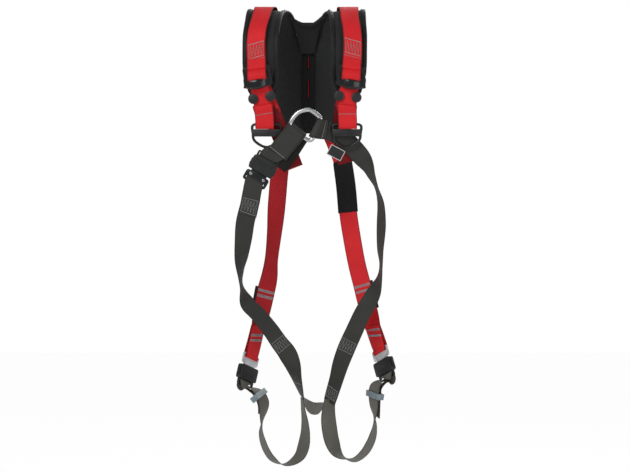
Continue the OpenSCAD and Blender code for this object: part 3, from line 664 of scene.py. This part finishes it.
# ---------- Adjusters ----------
# On each shoulder a black coated steel frame with a bright sliding bar behind it. The main strap is looped
# over its top bar, and the chest strap runs round the sliding bar, which grips it.
for end in ("left", "right"):
    hard_part("adjuster_frame_" + end, black_steel, 0.0009, segments=3)
    hard_part("adjuster_bar_" + end, bright_steel, 0.0003)
ROLL = [[-121.8, -219.6, 38, 0, 5], [-121.4, -225.6, 27, 0, 7], [-121.2, -231, 17, 0, 8], [-121, -228.6, 11.5, 0, 8],
        [-121, -232, 7, 0, 8, 45, 3.2], [-120.6, -235.6, 0, 0, 8, 45.6, 4], [-120.2, -234.4, -8, 0, 8, 45, 4],
        [-120, -229.4, -12.6, 0, 8, 44, 2.4]]
GUARD = [[-148, -222.6, -18, 0, 90, 15, 3.4], [-143, -225.4, -20.6, 0, 90, 20, 5], [-134, -229, -23, 0, 90, 22, 7],
         [-120, -231, -22.4, 0, 90, 24, 9], [-106, -229.4, -18.6, 0, 90, 23, 7], [-98, -226, -12, 0, 90, 26, 5],
         [-93, -223.2, -6, 0, 90, 32, 3.4]]
glossy = coated("glossy black coating", "#191A1C", "#0A0B0C", 0.12)
for end, roll, guard in (("left", ROLL, GUARD), ("right", mirrored(ROLL), mirrored(GUARD))):
    strap("shoulder_roll_" + end, roll, red_weave)
    dish = swept("adjuster_guard_" + end, guard, BOW, [glossy], 8)
    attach(dish, "harness")

# ---------- Chest straps ----------
# Red webbing from each adjuster down to the chest ring, where its end is folded round the ring, brought up
# in front and sewn across. Its loose tail hangs behind, inside the side strap.
CHEST_LEFT = [
    [-33.5, -196.6, -217.5, -4], [-48, -198, -180, -5], [-72, -202, -122, -5], [-95, -206, -66, -5],
    [-109, -208.4, -30, -5], [-117, -209.6, -9, 0, 8], [-118, -211.4, -3.6, 0, 8], [-118, -215, -1.8, 0, 8],
    [-118, -218.8, -3.6, 0, 8], [-117.8, -219.8, -9, 0, 8], [-115.5, -218, -26, -3, 8], [-111, -216.2, -42, -2, 8],
    [-106.5, -216, -64, 0], [-103, -218, -92, 0], [-102, -220.4, -108, 0], [-102, -219.6, -119, 0],
    [-102, -215, -123, 0], [-102, -210.6, -119, 0], [-102.2, -211, -108, 0], [-103, -213.6, -92, 0]
]
CHEST_RIGHT = [
    [92, -194.4, -205, 5], [84, -196, -170, 5], [80, -197, -120, 5], [86, -205.4, -66, 5], [96, -208.4, -30, 5],
    [100, -209.6, -9, 0, -8], [101, -211.4, -3.6, 0, -8], [101, -215, -1.8, 0, -8], [101, -218.8, -3.6, 0, -8],
    [100.6, -219.8, -9, 0, -8], [97.5, -218, -26, 3, -6], [94, -217, -42, 2, -5], [92, -218.6, -64, 0],
    [92, -221.8, -92, 0], [92.5, -224.4, -108, 0], [92.5, -223.6, -119, 0], [92.5, -219, -123, 0],
    [92.5, -214.6, -119, 0], [92.3, -215, -108, 0], [92, -217.2, -92, 0]
]
tail_red = webbing("red polyester webbing in shade", "#8A1219", "#5E0C12", "#4A0A0E", sheen=0.0, rough=0.7)
for end, rows in (("left", CHEST_LEFT), ("right", CHEST_RIGHT)):
    piece = strap("chest_webbing_" + end, rows, red_weave, ["chest_strap_" + end])
    piece.data.materials.append(tail_red)
    for face in piece.data.polygons:
        face.material_index = 1 if face.center.y > -0.2075 and face.center.z < -0.04 else 0
FOLD_LEFT = [[-107, -217.8, -70, 0, 8, 47, 3], [-106.2, -222.8, -74, 0, 8, 48, 5], [-104.8, -223, -82, 0, 6, 46, 3],
             [-104, -222, -88, 0, 4], [-103, -222.4, -96, 0, 2],
             [-102, -223.6, -110, 0], [-102, -222.4, -121, 0], [-102, -218, -126, 0]]
FOLD_RIGHT = [[90.2, -220.4, -70, 0, -8, 47, 3], [90.7, -225.6, -74, 0, -8, 48, 5], [91, -226, -82, 0, -6, 46, 3],
              [91.6, -225.4, -88, 0, -5], [92, -226, -96, 0, -2],
              [92.5, -227.6, -110, 0], [92.5, -226.4, -121, 0], [92.5, -222, -126, 0]]
strap("chest_fold_left", FOLD_LEFT, red_weave)
strap("chest_fold_right", FOLD_RIGHT, red_weave)
sew("chest_sewing_left", FOLD_LEFT, [[(3.65, -0.88), (3.45, 0.88)]], dark_thread, pitch=0.003, size=0.0022)
sew("chest_sewing_right", FOLD_RIGHT, [[(3.45, -0.88), (3.65, 0.88)]], dark_thread, pitch=0.003, size=0.0022)
for end in ("left", "right"):
    hard_part("strap_keeper_" + end, black_nylon, 0.0008)

# ---------- Chest rings ----------
# A small D of round steel wire below each chest strap, with a black moulded bar across it.
CHEST_RING = [[0, 0.5], [31, 0], [32, -20], [27, -38], [0, -52], [-27, -38], [-32, -20], [-31, 0]]
for end, centre in (("left", (-98, -215, -117)), ("right", (91, -219, -117))):
    bent_bar("chest_d_" + end, CHEST_RING, centre, 6.4, black_steel, "chest_ring_" + end,
             ["chest_ring_" + end])
    hard_part("ring_bar_" + end, black_nylon, 0.0008)

# ---------- Sternal attachment ----------
# The bright forged ring in the middle of the chest. Dark grey webbing is folded round each of its legs: on
# the left it runs through a sleeve to the chest buckle, on the right it becomes the side strap.
grey_weave = webbing("dark grey polyester webbing", "#3D3D39", "#222220", "#2A2A27", rough=0.55, sheen=0.05)
STERNAL_RING = [[5, 36], [18, 29], [27.5, 21], [32.5, 14], [30, 3], [24, -9], [17, -25], [12, -33], [6, -36],
                [-1, -33.5], [-14, -24], [-30, -11], [-37.5, -3.5], [-38.5, 5], [-32.5, 16.5], [-22, 28], [-9.6, 34]]
bent_bar("sternal_d", STERNAL_RING, (-3, -231, -118), 10, bright_steel, "sternal_ring",
         ["sternal_ring"], sides=20, fine=6)
SLOPE = math.radians(38.7)


def down(far, y, width=WEB, thick=2.0):
    """A row at a distance down the slanting line from the sternal ring to the chest buckle."""
    return [-20 - far * math.sin(SLOPE), y, -129 - far * math.cos(SLOPE), 0, -38.7, width, thick]


STERNAL_LEFT = [down(32, -226.8), down(22, -225.6), down(8, -224.6, 42), down(0.5, -226.4, 40), down(-1.6, -231, 38),
                down(0.5, -235.6, 40), down(8, -237.4, 42), down(22, -235), down(32, -232.6)]
STERNAL_RIGHT = [
    [42, -218.2, -129, 0, 60, 44], [34, -220.6, -128.4, 0, 62, 45], [24, -223.4, -126.6, 0, 63, 47],
    [16, -225, -124.6, 0, 62, 48], [13, -231, -123.6, 0, 61, 48], [16, -237.4, -124.6, 0, 62, 48],
    [23, -239, -126.6, 0, 63, 47], [31, -231, -128.4, 0, 62, 46], [36, -225, -128.6, 0, 60, 45],
    [44, -221.4, -129.4, 0, 60, 44]
]
loop = strap("sternal_webbing_left", STERNAL_LEFT, grey_weave, ["sternal_loop_left"], body=None)
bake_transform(loop)
loop = strap("sternal_webbing_right", STERNAL_RIGHT, grey_weave, ["sternal_loop_right"], body=None)
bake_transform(loop)
sew("sternal_sewing_right", STERNAL_RIGHT, [[(8.0, -0.85), (8.0, 0.85)]], dark_thread, pitch=0.003, size=0.0024)
STERNAL_STRAP = [
    down(33, -229.8, WEB, 6), [-49.3, -228.9, -163.2, 0, -44, WEB, 4.6],
    [-58.7, -228, -171, 0, -48, WEB, 4.4], [-68.6, -227.2, -178.4, 0, -52, WEB, 4.2],
    [-75.4, -226.6, -183.2, 0, -54, WEB, 2.2], [-84.6, -226, -186.2, 0, -56],
    [-91.4, -225.6, -190.6, 0, -36], [-94.6, -224.8, -195.4, 0, -30], [-95.9, -221, -198, 0, -30],
    [-94.6, -217.4, -195.4, 0, -30], [-91, -218, -189.6, 0, -36]
]
strap("sternal_strap_webbing", STERNAL_STRAP, grey_weave, ["sternal_strap"], fine=8)
SLEEVE = [down(4, -238.6, 50, 3), down(9, -238.2, 51, 8), down(20, -233.4, 51, 12), down(32, -231, 51, 11),
          down(44, -230, 51, 9), down(60, -229, 51, 8), down(77, -227.6, 52, 7.4)]
UNDER = [down(12, -228, 50, 5), down(32, -226, 54, 6), down(52, -224, 58, 6), down(68, -222.6, 60, 6),
         down(82, -221.4, 60, 5), down(100, -220, 58, 4)]
# The sleeve sits 5 mm to the upper side of its strap, and its shaded side 6 mm to the lower side.
SLEEVE = [[r[0] - 4, r[1], r[2] + 3] + r[3:] for r in SLEEVE]
UNDER = [[r[0] + 5, r[1], r[2] - 4] + r[3:] for r in UNDER]
strap("sternal_sleeve_cloth", SLEEVE, grey_weave, ["sternal_sleeve"], fine=8)
shade_weave = webbing("dark grey webbing in shade", "#1E1E1C", "#131312", "#161614", rough=0.8, sheen=0.0)
strap("sternal_sleeve_side", UNDER, shade_weave, fine=8)
sew("sternal_sewing_left", SLEEVE, [[(5.75, -0.92), (5.75, 0.6)]], dark_thread, pitch=0.003, size=0.0024)

# ---------- Chest buckle ----------
# A black coated housing on the sleeve's strap, and a flat tongue on the side strap that clips into it. Two
# sprung tabs, one on each side, are pressed together to let it go.
hard_part("chest_receiver", black_nylon, 0.0012, segments=3)
hard_part("chest_tongue", black_steel, 0.0006)
hard_part("chest_tabs_left", black_nylon, 0.0005)
hard_part("chest_tabs_right", black_nylon, 0.0005)
hard_part("chest_rivets", bright_steel, 0.0006, segments=3)
hard_part("chest_springs", plain_steel, 0.0001)

# ---------- Side straps ----------
# Dark grey webbing from the chest to the leg loops: the left one is looped in the chest buckle's tongue,
# the right one comes straight from the sternal ring. Their layers are sewn with boxes of grey thread.
SIDE_LOOP = [
    [-136, -217.2, -300, 2, -20], [-132.5, -216.4, -278, 1, -24], [-127.4, -216.8, -253.6, 0, -30],
    [-125, -217.8, -247.6, 0, -30], [-123.6, -221, -245, 0, -30],
    [-125, -224.6, -247.6, 0, -30], [-127.4, -225.8, -253.6, 0, -30],
    [-132.5, -222.8, -278, 1, -24], [-136.4, -220.2, -300, 2, -22], [-143.4, -216.6, -330, 4, -18]
]
SIDE_LEFT = [
    [-134.6, -218.5, -288, 2, -22], [-138, -218.4, -306, 2, -20], [-148, -213, -345, 8, -14],
    [-153, -206, -388, 26], [-158, -195, -430, 48], [-160, -185, -465, 74], [-158, -178, -500, 82],
    [-145, -173, -537, 38], [-120, -169, -564, 30],
    [-91, -165, -600, 28], [-69, -161, -632, 24], [-51, -157, -656, 10], [-39, -152, -682, -20],
    [-31, -146, -710, -48], [-24, -139, -735, -64], [-16, -128, -764, -80]
]
SIDE_RIGHT = [
    [45, -219.1, -129.4, 0, 59, 44, 2.4], [52, -214.2, -131.6, 0, 58, 44, 1.8], [64, -211.6, -137, 0, 56],
    [80, -208.6, -147, 0, 54], [98, -206.4, -161, 0, 46], [124, -206, -190, -20, 36],
    [140, -205, -214, -55, 24], [149, -204, -236, -72, 14], [161, -202, -264, -84, 6],
    [171, -200, -300, -72, 0], [172.6, -198, -345, -64, 0],
    [171.5, -194, -376, -66, 0], [170.4, -188, -412, -74, 0], [172.4, -181, -448, -84, 0],
    [169.4, -175, -478, -75, 0], [157, -171, -510, -42, 0], [141.6, -168, -540, -26, 0],
    [126, -165, -568, -26, 0], [107, -161, -610, -22, 0], [91, -157, -646, -20, 0], [77, -151, -684, -30, 0],
    [66, -143, -724, -44, 0], [54, -130, -765, -50, 0], [50.6, -127, -778, -52, 0]
]
loop = strap("side_loop_webbing", SIDE_LOOP, grey_weave, ["side_loop_left"], body=None, fine=8)
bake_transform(loop)
strap("side_webbing_left", SIDE_LEFT, grey_weave, ["side_strap_left"])
strap("side_webbing_right", SIDE_RIGHT, grey_weave, ["side_strap_right"])
box_sewing("side_sewing_left", SIDE_LOOP, 7.65, 8.75, tilt=0.06, bar=0.0022, colour=dark_thread)
box_sewing("side_sewing_left_hip", SIDE_LEFT, 9.75, 10.6, bar=0.0022, colour=dark_thread)
sew("side_sewing_left_low", SIDE_LEFT, [[(13.8, -0.8), (13.8, 0.8)]], dark_thread, pitch=0.003, size=0.002)
box_sewing("side_sewing_right", SIDE_RIGHT, 18.5, 19.2, bar=0.0022, colour=dark_thread)
box_sewing("side_sewing_right_low", SIDE_RIGHT, 21.45, 22.1, bar=0.0022, colour=dark_thread)

# ---------- Hip buckles ----------
# Each main strap ends in a loop through a steel tongue, which clips down into a black housing at the top of
# the leg strap.
HIP_LEFT = [
    [-121.4, -120.4, -592, 44], [-131, -114, -628, 48, -8], [-140.5, -109.9, -661, 52, -20],
    [-142.5, -111, -670, 52, -20], [-139.4, -114.5, -674.4, 52, -20], [-135.8, -117.1, -670, 52, -20],
    [-134, -115.6, -661, 52, -20], [-126.6, -118.4, -628, 48, -8], [-119.8, -122.8, -592, 44]
]
HIP_RIGHT = [
    [154.6, -122.6, -592, -34], [166, -115, -620, -42, 8], [175.6, -108.6, -647, -52, 24],
    [176.6, -109.6, -655, -52, 24], [174.2, -112.5, -659.8, -52, 24], [170.6, -114.6, -655, -52, 24],
    [169, -114.4, -647, -52, 24], [161, -118.6, -620, -42, 8], [153, -125.2, -592, -34]
]
for end, rows, low, high in (("left", HIP_LEFT, (-0.121, -0.121, -0.596), (-0.135, -0.115, -0.66)),
                             ("right", HIP_RIGHT, (0.154, -0.124, -0.596), (0.171, -0.112, -0.648))):
    loop = strap("hip_webbing_" + end, rows, red_weave, ["hip_loop_" + end], body=None, fine=8)
    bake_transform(loop)
    hard_part("hip_tongue_" + end, plain_steel, 0.0006)
    hard_part("hip_receiver_" + end, black_nylon, 0.0012, segments=3)
    hard_part("hip_tab_outer_" + end, black_nylon, 0.0005)
    hard_part("hip_tab_inner_" + end, black_nylon, 0.0005)
    hard_part("hip_springs_" + end, plain_steel, 0.0001)

# ---------- Rear strap fittings ----------
# The double grey lines where the rear straps' layers are sewn above the hips, the dark guide loops there,
# and a black sleeve round the right strap that covers its label.
for name, rows, places, step in (
    ("rear_lines_left", MAIN_RIGHT, (27.05, 27.33), 0.045),
    ("rear_lines_right", MAIN_LEFT, (26.05, 26.38), 0.045),
    ("hip_lines_left", HIP_LEFT, (7.3, 6.97), 0.05),
    ("hip_lines_right", HIP_RIGHT, (7.57, 7.1), 0.06),
):
    bars = [[(place + step * i, -0.82), (place + step * i, 0.82)] for place in places for i in (-1, 0, 1)]
    sew(name, rows, bars, blue_thread, pitch=0.003, size=0.0022)
guide_weave = webbing("dark grey guide webbing", "#2A2A28", "#191917", "#1D1D1B", rough=0.7, sheen=0.02)
for end, rows in (("left", [[-105, -100.6, -503, 16], [-114.6, -111.4, -552, 20]]),
                  ("right", [[132.4, -98.8, -490, -16], [141.6, -109, -530, -13], [147.6, -114.6, -556, -17]])):
    strap("guide_webbing_" + end, rows, guide_weave, ["guide_loop_" + end], width=48, thick=1.2)
LABEL = [[82.6, -30.6, -192, -13.6, 0, 45, 6], [84.4, -32.6, -201, -13.4, 0, 48, 6.4], [92, -44.8, -258, -12, 0, 49, 6],
         [96.9, -57.9, -320, -10.2, 0, 49, 5.6]]
strap("label_cover", LABEL, black_weave, ["label_sleeve"], fine=10)

# ---------- Leg straps ----------
# Lighter grey webbing round each thigh, from the side strap's end up to the hip buckle, with a loose tail
# under a bluish moulded keeper. A short strap ties the two together under the seat.
leg_weave = webbing("mid grey polyester webbing", "#716F67", "#484641", "#3A3833", rough=0.6, sheen=0.06)
LEG_LEFT = [
    [-15.4, -126.6, -768, -82], [-12, -125, -796, -76], [-8, -122, -824, -68], [-7, -117, -853, -60],
    [-11, -112, -882, -52], [-21, -107, -907, -54], [-41, -102, -924, -64], [-64, -99, -930, -78, 5],
    [-87, -100, -917, -72, 17], [-103, -105, -892, -67, 9], [-112, -113, -860, -71], [-111, -122, -830, -90],
    [-107, -131, -802, -112], [-106, -137, -781, -121], [-111.5, -138.5, -764, -124, 2],
    [-121, -137.5, -752, -126, 6], [-134, -136.8, -744, -128, 14], [-146.4, -136.8, -739.5, -128, 20],
    [-149.4, -136, -732.6, -128, 20], [-151.2, -131.3, -727, -128, 20], [-156.2, -129.6, -732.6, -128, 20],
    [-152, -127.4, -742.4, -128, 18], [-138, -130.6, -748.5, -126, 12], [-124.8, -133, -756, -125, 7],
    [-114.8, -134.4, -766.4, -124, 3], [-109, -133.4, -782.4, -121], [-110.2, -129, -799, -113]
]
LEG_RIGHT = [
    [52.6, -128.6, -769, 50], [49, -126, -790, 46], [48, -123, -814, 38], [51, -117, -843, 34],
    [57, -112, -872, 38], [69, -107, -897, 50], [91, -102, -915, 70, -14], [115, -99, -918, 76, -22],
    [137, -100, -900, 66, -21], [151, -106, -873, 62, -11], [157, -115, -846, 68, 4], [158, -124, -821, 86],
    [157, -132, -794, 110], [156.5, -137, -766, 120], [159.5, -139.6, -741, 124, -6],
    [170.5, -139.8, -727.5, 127, -16],
    [184, -138.4, -720, 128, -24], [186.6, -137.4, -715, 128, -24], [188, -132.5, -709.6, 128, -24],
    [193.2, -131.2, -716, 128, -24], [189.6, -127.4, -727.4, 127, -18], [176, -133.4, -733.4, 125, -13],
    [164.6, -135.4, -745, 124, -6], [161.4, -134, -764, 121], [161.8, -129.2, -789, 116], [163.6, -124, -811, 108]
]
CROTCH = [[-12, -119, -772.5, 90, 22, 30], [4, -113, -789, 90, 66, 30], [15, -110, -794.5, 90, 82, 30],
          [27, -112, -791.5, 90, 50, 30], [37, -117, -788, 90, 20, 30]]
strap("leg_webbing_left", LEG_LEFT, leg_weave, ["leg_strap_left"])
strap("leg_webbing_right", LEG_RIGHT, leg_weave, ["leg_strap_right"])
pale_leg = webbing("grey webbing lit from below", "#8D8C84", "#66655E", "#4A4843", rough=0.6, sheen=0.06)
strap("crotch_webbing", CROTCH, pale_leg, ["crotch_strap"])
bluish = nylon("bluish grey moulded nylon", "#8C9CA3", "#6E7C82", rough=0.45)
for end in ("left", "right"):
    hard_part("leg_keeper_" + end, bluish, 0.0008)

# ---------- Tag ----------
# A soft black rubber tag with a pale moulded rim, left bare.
rubber = nylon("soft black rubber", "#1E1F20", "#101112", rough=0.6)
pale_rim = nylon("pale moulded rim", "#DADADA", "#B9B9B9", rough=0.55)
hard_part("tag", pale_rim, 0.0005)
lean = math.radians(28)
face = swept("tag_face", [[65 - far * math.sin(lean), -235.4, -183 - far * math.cos(lean), 0, -28, 33.4, 1.2]
                          for far in (-11.2, -5, 5, 11.2)], FLAT, [rubber], 3)
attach(face, "tag")
